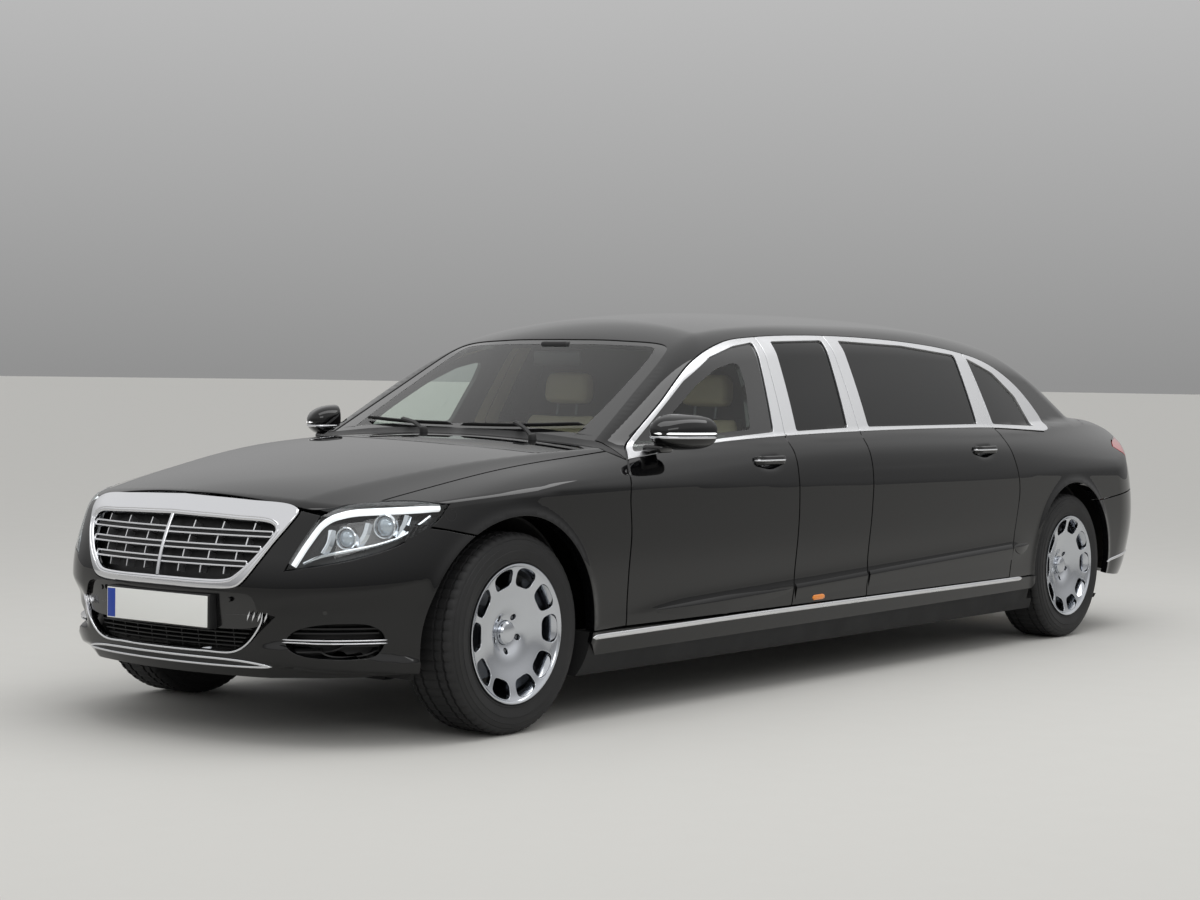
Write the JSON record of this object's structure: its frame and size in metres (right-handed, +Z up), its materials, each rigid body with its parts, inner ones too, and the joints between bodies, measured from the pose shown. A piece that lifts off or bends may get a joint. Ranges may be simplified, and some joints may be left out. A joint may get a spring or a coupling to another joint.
{
  "type": "stretch limousine",
  "caption": "Long black saloon with a fixed middle section between its doors, hollow cabin, hinged doors, bonnet and boot lid, steered front wheels and free turning wheels.",
  "frame": {"origin": "floor under the middle of the car's length and width", "axes": "+X to the rear, +Y to the car's right side, +Z up"},
  "size_m": [6.5102, 2.11, 1.5958],
  "materials": {
    "paint": "gloss black paint under clear coat",
    "chrome": "polished chrome",
    "clear_glass": "clear safety glass with a light green tint",
    "dark_glass": "dark tinted glass",
    "lamp_glass": "clear lamp cover",
    "tail_lens": "red lamp lens",
    "tyre": "black tyre rubber",
    "rim": "polished alloy",
    "black_plastic": "dark grained plastic",
    "underbody": "grey black underbody coating",
    "steel": "bare dark iron",
    "leather": "cream leather",
    "dark_leather": "dark leather"
  },
  "bodies": {
    "chassis": {"floor_pan": "underbody", "body_frame": "paint", "front_fenders": "paint", "middle_panels": "paint", "rear_quarters": "paint", "front_bumper": "paint", "rear_bumper": "paint", "grille": "chrome", "headlamps": "lamp_glass", "tail_lamps": "tail_lens", "windscreen": "clear_glass", "rear_window": "dark_glass", "fixed_side_glass": "dark_glass", "engine": "steel", "dashboard": "dark_leather", "steering_wheel": "dark_leather", "front_seats": "leather", "rear_seats": "leather", "partition": "dark_leather", "rear_bulkhead": "black_plastic", "front_axle": "steel", "rear_axle": "steel", "wheel_liners": "black_plastic"},
    "bonnet": {"bonnet": "paint"},
    "boot_lid": {"boot_lid": "paint"},
    "door_front_left": {"door_front_left": "paint", "glass_front_left": "clear_glass", "mirror_left": "paint"},
    "door_rear_left": {"door_rear_left": "paint", "glass_rear_left": "dark_glass"},
    "knuckle_left": {"knuckle_left": "steel"},
    "wheel_front_left": {"wheel_front_left": "rim", "tyre_front_left": "tyre"},
    "wheel_rear_left": {"wheel_rear_left": "rim", "tyre_rear_left": "tyre"},
    "door_front_right": {"door_front_right": "paint", "glass_front_right": "clear_glass", "mirror_right": "paint"},
    "door_rear_right": {"door_rear_right": "paint", "glass_rear_right": "dark_glass"},
    "knuckle_right": {"knuckle_right": "steel"},
    "wheel_front_right": {"wheel_front_right": "rim", "tyre_front_right": "tyre"},
    "wheel_rear_right": {"wheel_rear_right": "rim", "tyre_rear_right": "tyre"}
  },
  "joints": [
    {"name": "bonnet_hinge", "type": "hinge", "parent": "chassis", "child": "bonnet", "pos_m": [-1.69, 0, 1.068], "axis": [0, 1, 0], "range_deg": [0, 55]},
    {"name": "boot_hinge", "type": "hinge", "parent": "chassis", "child": "boot_lid", "pos_m": [2.632, 0, 1.142], "axis": [0, -1, 0], "range_deg": [0, 80]},
    {"name": "door_front_left_hinge", "type": "hinge", "parent": "chassis", "child": "door_front_left", "pos_m": [-1.741, -0.952, 0.75], "axis": [0, 0, -1], "range_deg": [0, 68]},
    {"name": "door_rear_left_hinge", "type": "hinge", "parent": "chassis", "child": "door_rear_left", "pos_m": [0.01, -0.952, 0.75], "axis": [0, 0, -1], "range_deg": [0, 68]},
    {"name": "steer_left", "type": "hinge", "parent": "chassis", "child": "knuckle_left", "pos_m": [-2.365, -0.8, 0.365], "axis": [0, 0, 1], "range_deg": [-38, 38]},
    {"name": "wheel_front_left_spin", "type": "hinge", "parent": "knuckle_left", "child": "wheel_front_left", "pos_m": [-2.365, -0.8025, 0.365], "axis": [0, 1, 0], "continuous": true},
    {"name": "wheel_rear_left_spin", "type": "hinge", "parent": "chassis", "child": "wheel_rear_left", "pos_m": [2.053, -0.8025, 0.365], "axis": [0, 1, 0], "continuous": true},
    {"name": "door_front_right_hinge", "type": "hinge", "parent": "chassis", "child": "door_front_right", "pos_m": [-1.741, 0.952, 0.75], "axis": [0, 0, 1], "range_deg": [0, 68]},
    {"name": "door_rear_right_hinge", "type": "hinge", "parent": "chassis", "child": "door_rear_right", "pos_m": [0.01, 0.952, 0.75], "axis": [0, 0, 1], "range_deg": [0, 68]},
    {"name": "steer_right", "type": "hinge", "parent": "chassis", "child": "knuckle_right", "pos_m": [-2.365, 0.8, 0.365], "axis": [0, 0, 1], "range_deg": [-38, 38]},
    {"name": "wheel_front_right_spin", "type": "hinge", "parent": "knuckle_right", "child": "wheel_front_right", "pos_m": [-2.365, 0.8025, 0.365], "axis": [0, 1, 0], "continuous": true},
    {"name": "wheel_rear_right_spin", "type": "hinge", "parent": "chassis", "child": "wheel_rear_right", "pos_m": [2.053, 0.8025, 0.365], "axis": [0, 1, 0], "continuous": true}
  ],
  "couplings": [
    {"joint": "steer_right", "follows": "steer_left", "ratio": 1}
  ]
}
